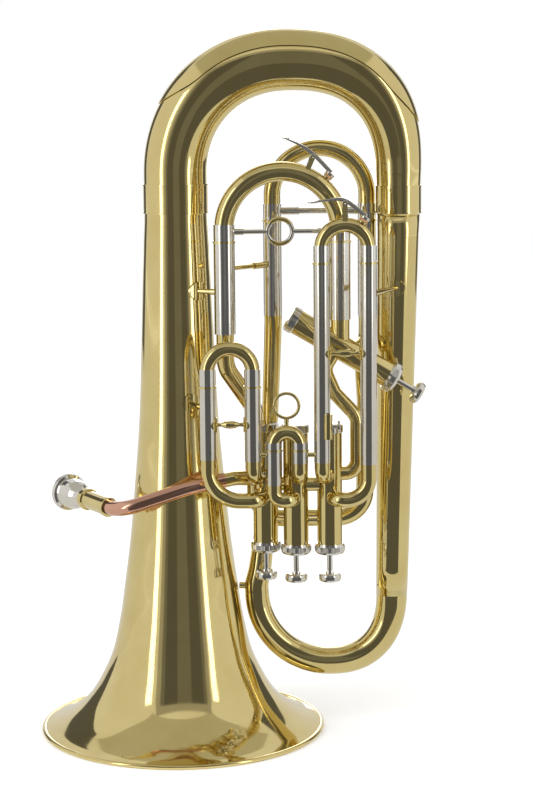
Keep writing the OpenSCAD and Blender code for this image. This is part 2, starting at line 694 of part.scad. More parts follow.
// Water key: arched lever, hinge barrel and pin, cup and cork
module key_lever(c, y, r_out, a_pin, r_pin, a_cork, a_tip, r_tip, half) {
    pin = [c[0] + r_pin * cos(a_pin), y, c[1] + r_pin * sin(a_pin)];
    tip = [c[0] + r_tip * cos(a_tip), y, c[1] + r_tip * sin(a_tip)];
    cork = [c[0] + (r_out + 1.3) * cos(a_cork), y, c[1] + (r_out + 1.3) * sin(a_cork)];
    up = [cos(a_cork), 0, sin(a_cork)];
    head = cork + up * 5.4;
    over = pin + unit([cos(a_pin), 0, sin(a_pin)]) * 2.4;
    arm = spline([tip, lerp(tip, over, 0.5) + [cos(a_tip) * 1.6, 0, sin(a_tip) * 1.6], over, head], 5);
    n = len(arm);
    function side(i) = let (t = unit(arm[min(i + 1, n - 1)] - arm[max(i - 1, 0)])) [-t[2], t[0]];
    edge = concat(
        [for (i = [0:n - 1]) [arm[i][0], arm[i][2]] + 0.9 * side(i)],
        [for (i = [n - 1:-1:0]) [arm[i][0], arm[i][2]] - 0.9 * side(i)]);
    translate([0, y + 2.4, 0]) rotate([90, 0, 0]) linear_extrude(4.8) polygon(edge);
    translate([pin[0], y + half - 1.1, pin[2]]) rotate([90, 0, 0]) cylinder(r = 2.6, h = 2 * half - 2.2);
    translate([pin[0], y + half + 1.6, pin[2]]) rotate([90, 0, 0]) cylinder(r = key_pin_r, h = 2 * half + 3.2);
    aim(cork, up) cylinder(r = 3.9, h = 3);
    aim(cork + up * 2.4, up) cylinder(r = 4.6, h = 3);
    aim(tip - [0, 0, 0.4], [0, 0, 1]) cylinder(r = 3.2, h = 1.4);
}
S3_C = [(S3[0] + S3[1]) / 2, S3[6] - leg_r - (S3[1] - S3[0]) / 2];
S4_C = [(S4[0] + S4[1]) / 2, S4[6] - leg_4_r - (S4[1] - S4[0]) / 2];
s3_out = (S3[1] - S3[0]) / 2 + leg_r;
s4_out = (S4[1] - S4[0]) / 2 + leg_4_r;

module slide_3() {
    color("gold") union() {
        slide_body(S3, leg_r, collar_3, 150);
        key_seat(S3_C, front_y, s3_out, leg_r, key_3_pin_a, s3_out + key_3_lift, 56, 5);
    }
}

ring_x = 99.6;
ring_r = 11.8;
ring_wire_r = 2.2;
ring_z = 495.4;
module slide_4() {
    y = S4[2];
    color("gold") union() {
        slide_body(S4, leg_4_r, collar_4, 62);
        key_seat(S4_C, y, s4_out, leg_4_r, key_4_pin_a, s4_out + key_4_lift, 48.5, 5);
        difference() {
            union() {
                for (q = [[S4[0], ring_x - ring_r - 0.3], [S4[1], ring_x + ring_r + 0.3]]) {
                    rod([q[0], y, ring_z], [q[1], y, ring_z], 2.2);
                    rod([q[0], y, ring_z], [lerp(q[0], q[1], 0.46), y, ring_z], 3.1);
                }
                translate([ring_x, y, ring_z]) rotate([90, 0, 0])
                    rotate_extrude() translate([ring_r, 0]) circle(r = ring_wire_r);
            }
            for (x = [S4[0], S4[1]])
                translate([x, y, ring_z - 20]) cylinder(r = leg_4_r, h = 40);
        }
    }
}
module slide_main() {
    z = 512;
    x0 = SM[0];
    x1 = SM[1];
    color("gold") union() {
        slide_body(SM, leg_main_r, collar_main, 80);
        difference() {
            union() {
                rod([x0, 0, z], [x1, 0, z], 2.8);
                rod([x0, 0, z], [x0 + 26, 0, z], 3.7);
                rod([x1, 0, z], [x1 - 26, 0, z], 3.7);
            }
            for (x = [x0, x1]) translate([x, 0, z - 20]) cylinder(r = leg_main_r, h = 40);
        }
    }
}
module water_key_3() {
    color("silver") key_lever(S3_C, front_y, s3_out, key_3_pin_a, s3_out + key_3_lift, 56, 126, s3_out + 24, 5);
}
module water_key_4() {
    color("silver") key_lever(S4_C, S4[2], s4_out, key_4_pin_a, s4_out + key_4_lift, 48.5, 87, s4_out + 21.5, 5);
}

// ---------- fixed small tubes ----------
elbow_r = leg_r + 0.5;
module front_elbow(x, z0, z1, v) {
    bent_tube([[x, front_y, z0], [x, front_y, z1], [v[0], v[1], z1]], [11], elbow_r, tube_wall, 22, 5);
}
module lower_elbow(x, z0, v, off, r0, r1) {
    px = v[0] + off;
    pipe([[x, front_y, z0], [x, front_y, port_lo], [px, front_y, port_lo], [px, v[1], port_lo]],
        [r0, r1], elbow_r, tube_wall);
}
module casing_cut(v) {
    translate([v[0], v[1], 200]) cylinder(r = casing_r, h = 100);
}
module elbows_1() {
    color("gold") difference() {
        union() {
            front_elbow(S1[1], S1[4], port_hi, V1);
            lower_elbow(S1[0], S1[3], V1, port_side[0], 30, 11);
        }
        casing_cut(V1);
    }
}
module elbows_2() {
    foot_x = V2[0] + port_side[1];
    color("gold") difference() {
        union() {
            front_elbow(S2[1], S2[4], port_hi, V2);
            bent_tube([[S2[0], front_y, S2[3]], [S2[0], front_y, port_lo], [foot_x, front_y, port_lo],
                [foot_x, V2[1], port_lo]], [8.8, 8], elbow_r, tube_wall, 22, 5);
        }
        casing_cut(V2);
    }
}
module elbows_3() {
    color("gold") difference() {
        union() {
            front_elbow(S3[0], S3[3], port_hi, V3);
            lower_elbow(S3[1], S3[4], V3, port_side[2], 21, 10);
        }
        casing_cut(V3);
    }
}
module return_tube_4() {
    color("gold") difference() {
        bent_tube(RETURN, [24, 22, 26, 27, 20], return_r, tube_wall, 22, 6);
        aim(v4(0), V4_DIR) cylinder(r = casing_r, h = valve_4_length);
    }
}
module foot_4() {
    color("gold") difference() {
        pipe([[S4[1], S4[2], S4[4]], v4(t_foot4)], [], leg_4_r - 0.2, tube_wall);
        aim(v4(0), V4_DIR) cylinder(r = casing_r, h = valve_4_length);
    }
}
module foot_main() {
    color("gold") difference() {
        bent_tube(FOOT_MAIN, [16], leg_main_r, tube_wall, 22, 7);
        aim(v4(0), V4_DIR) cylinder(r = casing_r, h = valve_4_length);
    }
}
module crossover() {
    color("gold") difference() {
        bent_tube(CROSS, [14, 14, 14, 12], leg_r, tube_wall, 20, 5);
        aim(v4(0), V4_DIR) cylinder(r = casing_r, h = valve_4_length);
        casing_cut(V3);
    }
}

// ---------- braces ----------
// Round flange on an upright tube of radius r whose axis stands at c
module flange(c, r, p, d, size) {
    intersection() {
        difference() {
            translate([c[0], c[1], p[2] - 20]) cylinder(r = r + 1.3, h = 40);
            translate([c[0], c[1], p[2] - 21]) cylinder(r = r + 0.05, h = 42);
        }
        aim(p - d * 12, d) cylinder(r = size, h = 24);
    }
}
// Rod from upright tube a (axis, radius) to upright tube b, with a flange on a
module brace(a, ra, pa, b, rb, pb, size) {
    d = unit(pb - pa);
    difference() {
        union() {
            rod(pa, pb, 2.3);
            rod(lerp(pa, pb, 0.5), pb, 3);
        }
        translate([a[0], a[1], pa[2] - 30]) cylinder(r = ra + 0.05, h = 60);
        translate([b[0], b[1], pa[2] - 30]) cylinder(r = rb + 0.05, h = 60);
    }
    flange(a, ra, pa, d, size);
}
sleeve_r = leg_r + slide_gap + sleeve_wall;
sleeve_4_r = leg_4_r + slide_gap + sleeve_wall;
sleeve_main_r = leg_main_r + slide_gap + sleeve_wall;

module bell_braces() {
    z1 = 438;
    z2 = 331;
    r1 = bell_r(z1 - 11);
    r2 = bell_r(z2 - 11);
    color("gold") {
        brace([0, 0], r1, [r1 * 0.62, -r1 * 0.76, z1], [S4[0], S4[2]], sleeve_4_r, [S4[0], S4[2], z1], 9);
        brace([0, 0], r2, [r2 * 0.36, -r2 * 0.92, z2], [S1[0], front_y], sleeve_r, [S1[0], front_y, z2], 9);
        difference() {
            rod([50, 0, lower_bow_z + 6], [inner_foot_x, 0, lower_bow_z + 6], 3.4);
            translate([0, 0, lower_bow_z - 4]) cylinder(r = bell_r(lower_bow_z - 1), h = 20);
            translate([inner_foot_x, 0, lower_bow_z - 4]) cylinder(r = lower_bow_r + 0.2, h = 20);
        }
    }
}
module branch_brace() {
    z = 438.6;
    rb = branch_top_r - 1.6;
    cx = branch_spacing - 1.4;
    p = [cx - rb * 0.1, -rb * 0.97, z];
    color("gold") brace([cx, 0], rb + 0.5, p, [S3[1], front_y], sleeve_r, [S3[1], front_y, z], 8);
}
module leg_brace() {
    z = 460;
    a = [S4[0], S4[2], z];
    b = [SM[0], SM[2], z];
    color("gold") difference() {
        union() {
            rod(a, b, 2.2);
            rod(lerp(a, b, 0.6), b, 3.2);
        }
        translate([a[0], a[1], z - 10]) cylinder(r = sleeve_4_r, h = 20);
        translate([b[0], b[1], z - 10]) cylinder(r = sleeve_main_r, h = 20);
    }
}
// Turned brace between the two sleeves of a slide
module baluster(s, z) {
    len = s[1] - s[0];
    gap = sleeve_r;
    color("gold") difference() {
        union() {
            translate([s[0], s[2], z]) rotate([0, 90, 0]) rotate_extrude() polygon([
                [0, gap - 2], [2.6, gap - 2], [1.9, gap + 3], [1.7, gap + 5], [3.4, len / 2 - 4],
                [3.8, len / 2], [3.4, len / 2 + 4], [1.7, len - gap - 5], [1.9, len - gap - 3],
                [2.6, len - gap + 2], [0, len - gap + 2]
            ]);
            for (q = [[s[0], 1], [s[1], -1]])
                intersection() {
                    translate([q[0], s[2], z - 12]) cylinder(r = sleeve_r + 1.1, h = 24);
                    translate([q[0], s[2], z]) rotate([0, 90 * q[1], 0]) cylinder(r = 7.2, h = 20);
                }
        }
        for (x = [s[0], s[1]]) translate([x, s[2], z - 20]) cylinder(r = sleeve_r, h = 40);
    }
}
module baluster_1() { baluster(S1, 316.3); }
module baluster_3() { baluster(S3, 383.6); }

module stay(a, ra, b, rb, z, r) {
    difference() {
        rod([a[0], a[1], z], [b[0], b[1], z], r);
        translate([a[0], a[1], z - 10]) cylinder(r = ra, h = 20);
        translate([b[0], b[1], z - 10]) cylinder(r = rb, h = 20);
    }
}
module slide_stays() {
    color("gold") {
        stay([S1[1], front_y], sleeve_r, [S2[0], front_y], sleeve_r, 287, 2.4);
        stay([S2[1], front_y], sleeve_r, [S3[0], front_y], sleeve_r, 287, 2.4);
        stay(V1, casing_r, V2, casing_r, 219, 2.6);
        stay(V2, casing_r, V3, casing_r, 219, 2.6);
    }
}

module lyre_box() {
    x = S3[0] + 5.4;
    y = front_y - 3;
    z = 303;
    color("gold") difference() {
        union() {
            translate([x - 4, y - 8.5, z]) cube([8, 11, 24]);
            translate([x + 3.5, y - 3.5, z + 12]) rotate([0, 90, 0]) cylinder(r = 2.2, h = 6);
            translate([x + 8.5, y - 3.5, z + 12]) rotate([0, 90, 0]) cylinder(r = 5.4, h = 2.6);
        }
        translate([x - 2, y - 6.4, z - 1]) cube([4, 4.2, 26]);
        translate([S3[0], front_y, z - 1]) cylinder(r = sleeve_r, h = 26);
    }
}

bell();
bell_ferrule();
top_bow();
bow_guard();
branch_ferrule();
outer_branch();
lower_bow();
inner_branch();
leadpipe();
leadpipe_tail();
receiver();
mouthpiece();
valve_casing_1();
valve_casing_2();
valve_casing_3();
valve_casing_4();
upper_cap_1();
upper_cap_2();
upper_cap_3();
upper_cap_4();
lower_cap_1();
lower_cap_2();
lower_cap_3();
lower_cap_4();
piston_1();
piston_2();
piston_3();
piston_4();
button_1();
button_2();
button_3();
button_4();
valve_knuckles();
sleeves_1();
sleeves_2();
sleeves_3();
sleeves_4();
sleeves_main();
elbows_1();
elbows_2();
elbows_3();
return_tube_4();
foot_4();
foot_main();
crossover();
slide_1();
slide_2();
slide_3();
slide_4();
slide_main();
water_key_3();
water_key_4();
bell_braces();
branch_brace();
leg_brace();
baluster_1();
baluster_3();
slide_stays();
lyre_box();
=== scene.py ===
import json
import math

import bpy
from mathutils import Matrix, Vector


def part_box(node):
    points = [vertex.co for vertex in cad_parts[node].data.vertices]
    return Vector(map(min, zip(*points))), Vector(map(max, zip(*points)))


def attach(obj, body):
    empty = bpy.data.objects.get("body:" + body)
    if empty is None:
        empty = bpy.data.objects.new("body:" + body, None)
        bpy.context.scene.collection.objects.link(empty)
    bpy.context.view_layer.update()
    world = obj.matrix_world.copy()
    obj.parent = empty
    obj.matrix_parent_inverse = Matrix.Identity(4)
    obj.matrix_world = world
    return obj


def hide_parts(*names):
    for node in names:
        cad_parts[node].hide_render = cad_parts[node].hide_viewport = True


bl_info = {
    "name": "Four-valve euphonium",
    "version": (1, 0, 0),
    "blender": (4, 5, 0),
    "location": "3D View > Sidebar > Euphonium",
    "description": "Gives the packed brass horn its smooth tubes, metals, trim and studio",
    "category": "Object",
}

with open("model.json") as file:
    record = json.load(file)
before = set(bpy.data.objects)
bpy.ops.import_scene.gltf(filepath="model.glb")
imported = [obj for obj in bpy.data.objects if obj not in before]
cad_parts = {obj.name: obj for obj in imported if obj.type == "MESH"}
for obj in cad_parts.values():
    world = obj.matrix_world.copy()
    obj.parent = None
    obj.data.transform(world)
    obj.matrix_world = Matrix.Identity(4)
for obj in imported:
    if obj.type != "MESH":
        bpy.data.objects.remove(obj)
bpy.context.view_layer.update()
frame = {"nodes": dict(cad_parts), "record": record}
BELL_HI = Vector(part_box("bell")[1])
BRANCH_HI = Vector(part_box("outer_branch")[1])

# The three front valves' axes on the floor plan, the foot of their casings and the casings' radius (mm)
VALVES = {"1": (84, -38), "2": (113, -50), "3": (145.3, -50)}
VALVE_FOOT = 186
CASING_R = 12
# The fourth valve: top of its axis, slope to the floor, direction down the axis and length (mm)
VALVE_4_TOP = Vector((107.9, -38, 413.5))
VALVE_4_SLOPE = math.radians(31)
VALVE_4_DOWN = Vector((math.cos(VALVE_4_SLOPE), 0, -math.sin(VALVE_4_SLOPE)))
VALVE_4_LENGTH = 119.5
# The front slides stand this far in front of the bell's axis (mm)
FRONT_Y = -74
# Each water key (mm and degrees): centre and outside radius of the tube bow it sits on, angle and lift of its
# pin, angle of its cork, angle and reach of its tip
WATER_KEYS = (
    ("3", (159.9, FRONT_Y, 481.9), 28.8, 90, 13.4, 56, 126, 24),
    ("4", (101.5, -38, 497.2), 64.0, 66.5, 10.2, 48.5, 87, 21.5),
)
# Centre line of the top bow: half its width, its rise and the height of its centre (metres)
BOW_HALF, BOW_RISE, BOW_CENTRE = 0.1071, 0.1078, 0.5475
MM = 0.001
# Middle of the horn; the lamps point at it and the panels stand round it (metres)
MIDDLE = Vector((0.1, 0, 0.35))


def linear(code):
    """sRGB hex to linear RGB"""
    parts = [int(code[i:i + 2], 16) / 255 for i in (1, 3, 5)]
    return tuple(c / 12.92 if c <= 0.04045 else ((c + 0.055) / 1.055) ** 2.4 for c in parts)


# ---------- sizes and colours a user may change ----------

class HornSizes(bpy.types.PropertyGroup):
    throat: bpy.props.FloatProperty(
        name="Bell throat", description="Outer radius where the bell meets the top bow",
        default=0.0304, unit="LENGTH")
    branch_top: bpy.props.FloatProperty(
        name="Branch top", description="Outer radius where the top bow meets the outer branch",
        default=0.0211, unit="LENGTH")
    branch_foot: bpy.props.FloatProperty(
        name="Branch foot", description="Outer radius at the foot of the outer branch",
        default=0.0153, unit="LENGTH")
    lower_bow: bpy.props.FloatProperty(
        name="Lower bow", description="Outer radius of the lower bow at its small end",
        default=0.0118, unit="LENGTH")
    sheet: bpy.props.FloatProperty(
        name="Sheet", description="Thickness of the brass sheet", default=0.0008, unit="LENGTH")
    tube_wall: bpy.props.FloatProperty(
        name="Tube wall", description="Wall of the small tubes", default=0.0007, unit="LENGTH")
    sides: bpy.props.IntProperty(
        name="Sides", description="Faces round a tube", default=64, min=16, max=128)


class HornFinish(bpy.types.PropertyGroup):
    brass: bpy.props.FloatVectorProperty(
        name="Yellow brass", description="Lacquered yellow brass", subtype="COLOR", size=3,
        default=linear("#E4D292"))
    nickel: bpy.props.FloatVectorProperty(
        name="Nickel silver", description="Polished nickel silver", subtype="COLOR", size=3,
        default=linear("#E0DDD6"))
    silver: bpy.props.FloatVectorProperty(
        name="Silver plate", description="Silver plate", subtype="COLOR", size=3,
        default=linear("#E9E7E2"))
    rose: bpy.props.FloatVectorProperty(
        name="Rose brass", description="Copper-rich brass of the leadpipe", subtype="COLOR", size=3,
        default=linear("#E0AE97"))
    polish: bpy.props.FloatProperty(
        name="Polish", description="Roughness of the lacquered brass", default=0.07, min=0, max=1,
        subtype="FACTOR")


def sizes():
    """The sizes set in the panel"""
    return bpy.context.scene.horn_sizes


def finish():
    """The colours and polish set in the panel"""
    return bpy.context.scene.horn_finish


# ---------- materials ----------

def node(tree, kind, inputs=None, **settings):
    """Adds a node, sets its settings, and fills or links its inputs"""
    n = tree.nodes.new(kind)
    for key, value in settings.items():
        setattr(n, key, value)
    for key, value in (inputs or {}).items():
        if isinstance(value, bpy.types.NodeSocket):
            tree.links.new(value, n.inputs[key])
        else:
            n.inputs[key].default_value = value
    return n


def new_material(name):
    """The material of that name, and its empty node tree if it had to be made"""
    made = bpy.data.materials.get(name)
    if made:
        return made, None
    made = bpy.data.materials.new(name)
    made.use_nodes = True
    made.node_tree.nodes.clear()
    return made, made.node_tree


def bands_mask(tree, bands):
    """1 inside the given height bands (metres), 0 outside"""
    where = node(tree, "ShaderNodeTexCoord")
    split = node(tree, "ShaderNodeSeparateXYZ", {0: where.outputs["Object"]})
    total = None
    for low, high in bands:
        middle = (low + high) / 2
        off = node(tree, "ShaderNodeMath", {0: split.outputs["Z"], 1: middle}, operation="SUBTRACT")
        size = node(tree, "ShaderNodeMath", {0: off.outputs[0]}, operation="ABSOLUTE")
        inside = node(tree, "ShaderNodeMath", {0: size.outputs[0], 1: (high - low) / 2},
                      operation="LESS_THAN")
        if total:
            total = node(tree, "ShaderNodeMath", {0: total.outputs[0], 1: inside.outputs[0]},
                         operation="MAXIMUM")
        else:
            total = inside
    return total.outputs[0]


def metal(name, colour, rough, smear, lacquer, bands=(), other=None):
    """Polished metal: faint hand-buffing marks, slow tone shifts and, when lacquered, a clear coat"""
    made, tree = new_material(name)
    if tree is None:
        return made
    where = node(tree, "ShaderNodeTexCoord")
    # Buffing marks run round the tubes: about 0.4 mm apart and 12 mm long, coarser than real ones
    stretch = node(tree, "ShaderNodeMapping", {0: where.outputs["Object"], "Scale": (1.0, 1.0, 14.0)})
    marks = node(tree, "ShaderNodeTexNoise", {"Vector": stretch.outputs[0], "Scale": 180.0, "Detail": 5.0})
    # Tarnish and finger smears are 20 to 40 mm across
    cloud = node(tree, "ShaderNodeTexNoise", {
        "Vector": where.outputs["Object"], "Scale": 32.0, "Detail": 4.0})
    mixed = node(tree, "ShaderNodeMath", {0: marks.outputs["Fac"], 1: cloud.outputs["Fac"]},
                 operation="MULTIPLY")
    rough_map = node(tree, "ShaderNodeMapRange", {
        "Value": mixed.outputs[0], "From Min": 0.15, "From Max": 0.45,
        "To Min": rough * 0.75, "To Max": rough + smear})
    tone = node(tree, "ShaderNodeMapRange", {
        "Value": cloud.outputs["Fac"], "From Min": 0.3, "From Max": 0.7, "To Min": 0.0, "To Max": 1.0})
    darker = tuple(c * k for c, k in zip(colour, (0.93, 0.90, 0.84)))
    base = node(tree, "ShaderNodeMix", {
        0: tone.outputs[0], "A": (*colour, 1), "B": (*darker, 1)}, data_type="RGBA")
    base_out = base.outputs["Result"]
    if bands:
        mask = bands_mask(tree, bands)
        base = node(tree, "ShaderNodeMix", {0: mask, "B": (*other, 1)}, data_type="RGBA")
        tree.links.new(base_out, base.inputs["A"])
        base_out = base.outputs["Result"]
    bump = node(tree, "ShaderNodeBump", {
        "Height": marks.outputs["Fac"], "Strength": 0.02, "Distance": 0.0002})
    shader = node(tree, "ShaderNodeBsdfPrincipled", {
        "Base Color": base_out, "Metallic": 1.0, "Roughness": rough_map.outputs[0],
        "Normal": bump.outputs[0], "Coat Weight": lacquer, "Coat Roughness": 0.03})
    node(tree, "ShaderNodeOutputMaterial", {"Surface": shader.outputs[0]})
    return made


def lacquered_brass(name="Lacquered yellow brass, buffed", bands=(), other=None):
    """Drawn and spun brass buffed to a mirror under clear lacquer: pale gold with deep olive shades"""
    return metal(name, tuple(finish().brass), finish().polish, 0.05, 0.35, bands, other)


def nickel_silver(name="Nickel silver, polished", bands=(), other=None):
    """Drawn nickel silver, polished and lacquered: cool grey mirror, slightly softer than brass"""
    return metal(name, tuple(finish().nickel), 0.11, 0.06, 0.2, bands, other)


def silver_plate():
    """Silver plated brass, polished: the brightest metal on the horn"""
    return metal("Silver plate, polished", tuple(finish().silver), 0.10, 0.06, 0.0)


def rose_brass():
    """Copper-rich gold brass, buffed and lacquered: pinkish mirror"""
    return metal("Rose brass, buffed", tuple(finish().rose), 0.09, 0.05, 0.35)


def cork():
    """Cut sheet cork: matt tan with dark grains about 1 mm across"""
    made, tree = new_material("Cork sheet, cut")
    if tree is None:
        return made
    where = node(tree, "ShaderNodeTexCoord")
    grains = node(tree, "ShaderNodeTexVoronoi", {"Vector": where.outputs["Object"], "Scale": 900.0})
    base = node(tree, "ShaderNodeMix", {
        0: grains.outputs["Distance"], "A": (*linear("#7A5534"), 1), "B": (*linear("#C79C6A"), 1)},
        data_type="RGBA")
    bump = node(tree, "ShaderNodeBump", {
        "Height": grains.outputs["Distance"], "Strength": 0.5, "Distance": 0.0003})
    shader = node(tree, "ShaderNodeBsdfPrincipled", {
        "Base Color": base.outputs["Result"], "Roughness": 0.85, "Normal": bump.outputs[0]})
    node(tree, "ShaderNodeOutputMaterial", {"Surface": shader.outputs[0]})
    return made


def paper(name, code):
    """Matt paper"""
    made, tree = new_material(name)
    if tree is None:
        return made
    shader = node(tree, "ShaderNodeBsdfPrincipled", {
        "Base Color": (*linear(code), 1), "Roughness": 0.9, "Specular IOR Level": 0.1})
    node(tree, "ShaderNodeOutputMaterial", {"Surface": shader.outputs[0]})
    return made


def panel(name, code, glow):
    """Evenly lit studio panel"""
    made, tree = new_material(name)
    if tree is None:
        return made
    shader = node(tree, "ShaderNodeEmission", {"Color": (*linear(code), 1), "Strength": glow})
    node(tree, "ShaderNodeOutputMaterial", {"Surface": shader.outputs[0]})
    return made


# ---------- shapes ----------

def piece(name, verts, faces, material, body, sharp=()):
    """Makes an object of its own with one material, and hangs it under its body's empty when a body is given
    """
    mesh = bpy.data.meshes.new(name)
    mesh.from_pydata([tuple(v) for v in verts], [], faces)
    mesh.validate()
    mesh.polygons.foreach_set("use_smooth", [True] * len(mesh.polygons))
    if sharp:
        marked = set(sharp)
        for edge in mesh.edges:
            a, b = edge.vertices
            if (min(a, b), max(a, b)) in marked:
                edge.use_edge_sharp = True
    mesh.materials.append(material)
    obj = bpy.data.objects.new(name, mesh)
    bpy.context.scene.collection.objects.link(obj)
    if body:
        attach(obj, body)
    return obj


def rings_mesh(rings, closed, sharp_rings):
    """Faces between neighbouring rings of points, and the edges of the sharp rings"""
    count = len(rings[0])
    verts = [v for ring in rings for v in ring]
    total = len(rings)
    faces, sharp = [], []
    for i in range(total if closed else total - 1):
        j = (i + 1) % total
        for k in range(count):
            m = (k + 1) % count
            faces.append((i * count + k, i * count + m, j * count + m, j * count + k))
    for i in sharp_rings:
        i %= total
        for k in range(count):
            a, b = i * count + k, i * count + (k + 1) % count
            sharp.append((min(a, b), max(a, b)))
    return verts, faces, sharp


def seat(ring, along, casing):
    """Slides a tube's end ring onto the round wall it is soldered to"""
    origin, axis, radius = casing
    out = []
    for v in ring:
        w = v - origin
        w = w - axis * w.dot(axis)
        d = along - axis * along.dot(axis)
        half = w.dot(d)
        reach = half * half - d.length_squared * (w.length_squared - radius * radius)
        out.append(v + along * (-half - math.sqrt(max(reach, 0))) / d.length_squared)
    return out


def tube(path, radii, wall, sides, first=None, last_wall=None):
    """Hollow tube along a path; its ends are square, or saddle-cut to a casing"""
    path = [Vector(p) for p in path]
    last = len(path) - 1
    tangents = [(path[min(i + 1, last)] - path[max(i - 1, 0)]).normalized() for i in range(last + 1)]
    side = tangents[0].cross(Vector((0, 0, 1) if abs(tangents[0].z) < 0.9 else (0, 1, 0))).normalized()
    outer, inner = [], []
    for point, along, radius in zip(path, tangents, radii):
        side = (side - along * side.dot(along)).normalized()
        up = side.cross(along)
        turn = [(side * math.cos(a) + up * math.sin(a)) for a in
                (2 * math.pi * k / sides for k in range(sides))]
        outer.append([point + d * radius for d in turn])
        inner.append([point + d * (radius - wall) for d in turn])
    for skin in (outer, inner):
        if first:
            skin[0] = seat(skin[0], -tangents[0], first)
        if last_wall:
            skin[-1] = seat(skin[-1], tangents[-1], last_wall)
    rings = outer + inner[::-1]
    return rings_mesh(rings, True, (0, last, last + 1, 2 * last + 1))


def join(parts):
    """One mesh from several (verts, faces, sharp) sets"""
    verts, faces, sharp = [], [], []
    for v, f, s in parts:
        base = len(verts)
        verts += v
        faces += [tuple(i + base for i in face) for face in f]
        sharp += [(a + base, b + base) for a, b in s]
    return verts, faces, sharp


def bent(points, radii, step=6.0):
    """Points (mm in, metres out) of a route whose corners are rounded to the given radii"""
    points = [Vector(p) * MM for p in points]
    out = [points[0]]
    for i, radius in enumerate(radii, 1):
        radius *= MM
        before = (points[i] - points[i - 1]).normalized()
        after = (points[i + 1] - points[i]).normalized()
        angle = before.angle(after)
        inward = (after - before * after.dot(before)).normalized()
        centre = points[i] - before * radius * math.tan(angle / 2) + inward * radius
        steps = max(4, round(math.degrees(angle) / step))
        for k in range(steps + 1):
            a = angle * k / steps
            out.append(centre + radius * (before * math.sin(a) - inward * math.cos(a)))
    out.append(points[-1])
    return out


def smooth_line(points, n):
    """Catmull-Rom line through tuples of any length"""
    out = []
    last = len(points) - 1
    for i in range(last):
        a, b, c, d = (points[max(i - 1, 0)], points[i], points[i + 1], points[min(i + 2, last)])
        for k in range(n):
            t = k / n
            out.append(tuple(
                0.5 * (2 * q + (r - p) * t + (2 * p - 5 * q + 4 * r - s) * t * t
                       + (3 * q - p - 3 * r + s) * t ** 3) for p, q, r, s in zip(a, b, c, d)))
    out.append(tuple(points[last]))
    return out


def lathe(profile, sides, closed, sharp_rings):
    """Turns a profile of (radius, height) round Z"""
    rings = [[Vector((r * math.cos(a), r * math.sin(a), z)) for a in
              (2 * math.pi * k / sides for k in range(sides))] for r, z in profile]
    return rings_mesh(rings, closed, sharp_rings)


def turned(at, axis, profile, sides):
    """Small solid turned round an axis; its place and its (radius, height) profile are in mm"""
    verts, faces, sharp = lathe([(r * MM, z * MM) for r, z in profile], sides, True,
                                range(1, len(profile) - 1))
    place = Matrix.Translation(at * MM) @ Vector(axis).to_track_quat("Z", "Y").to_matrix().to_4x4()
    return [place @ v for v in verts], faces, sharp


def swept(name, shape, material, slot, *nodes):
    """A fixed piece from (verts, faces, sharp) that stands for the named CAD nodes"""
    verts, faces, sharp = shape
    made = piece(name, verts, faces, material, "horn", sharp)
    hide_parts(*nodes)
    return made


def oval(angle, width, height, square):
    """Radius of a squarish oval at an angle; a squareness of 2 is an ellipse"""
    c, s = abs(math.cos(angle)), abs(math.sin(angle))
    return ((c / width) ** square + (s / height) ** square) ** (-1 / square)


def share(table, x):
    """Reads a table of (x, y) between its points"""
    for (x0, y0), (x1, y1) in zip(table, table[1:]):
        if x <= x1:
            return y0 + (y1 - y0) * (x - x0) / (x1 - x0)
    return table[-1][1]


# ---------- pieces ----------

# Flare of the bell: share of its height, and the part of the flare still left there
FLARE = (
    (0.0066, 0.975), (0.0134, 0.880), (0.0290, 0.742), (0.0530, 0.604), (0.0800, 0.508),
    (0.1107, 0.428), (0.1393, 0.367), (0.1680, 0.324), (0.2250, 0.268), (0.2844, 0.226),
    (0.3416, 0.188), (0.3990, 0.156), (0.5134, 0.105), (0.5690, 0.082), (0.6510, 0.060),
    (0.7940, 0.034), (0.9070, 0.013), (0.9620, 0.000), (1.0, 0.000),
)
# Taper of the top bow: degrees from the branch side, and how far it has widened there towards the throat
TAPER = ((0, 0.02), (18, 0.24), (40, 0.58), (60, 0.74), (90, 0.85), (135, 0.98), (180, 1.0))


def bow_point(angle):
    """Centre line of the top bow; the angle runs from the branch side (0) to the bell side (pi)"""
    q = oval(angle, BOW_HALF, BOW_RISE, 2.1 if angle > math.pi / 2 else 2.45)
    return Vector((BOW_HALF + q * math.cos(angle), 0, BOW_CENTRE + q * math.sin(angle)))


def bow_radius(angle):
    """Outer radius of the top bow, its taper smoothed over 12 degrees"""
    s = sizes()
    degrees = math.degrees(angle)
    near = [share(TAPER, degrees + k) for k in (-6, -3, 0, 3, 6) if 0 <= degrees + k <= 180]
    return s.branch_top + (s.throat - s.branch_top) * sum(near) / len(near)


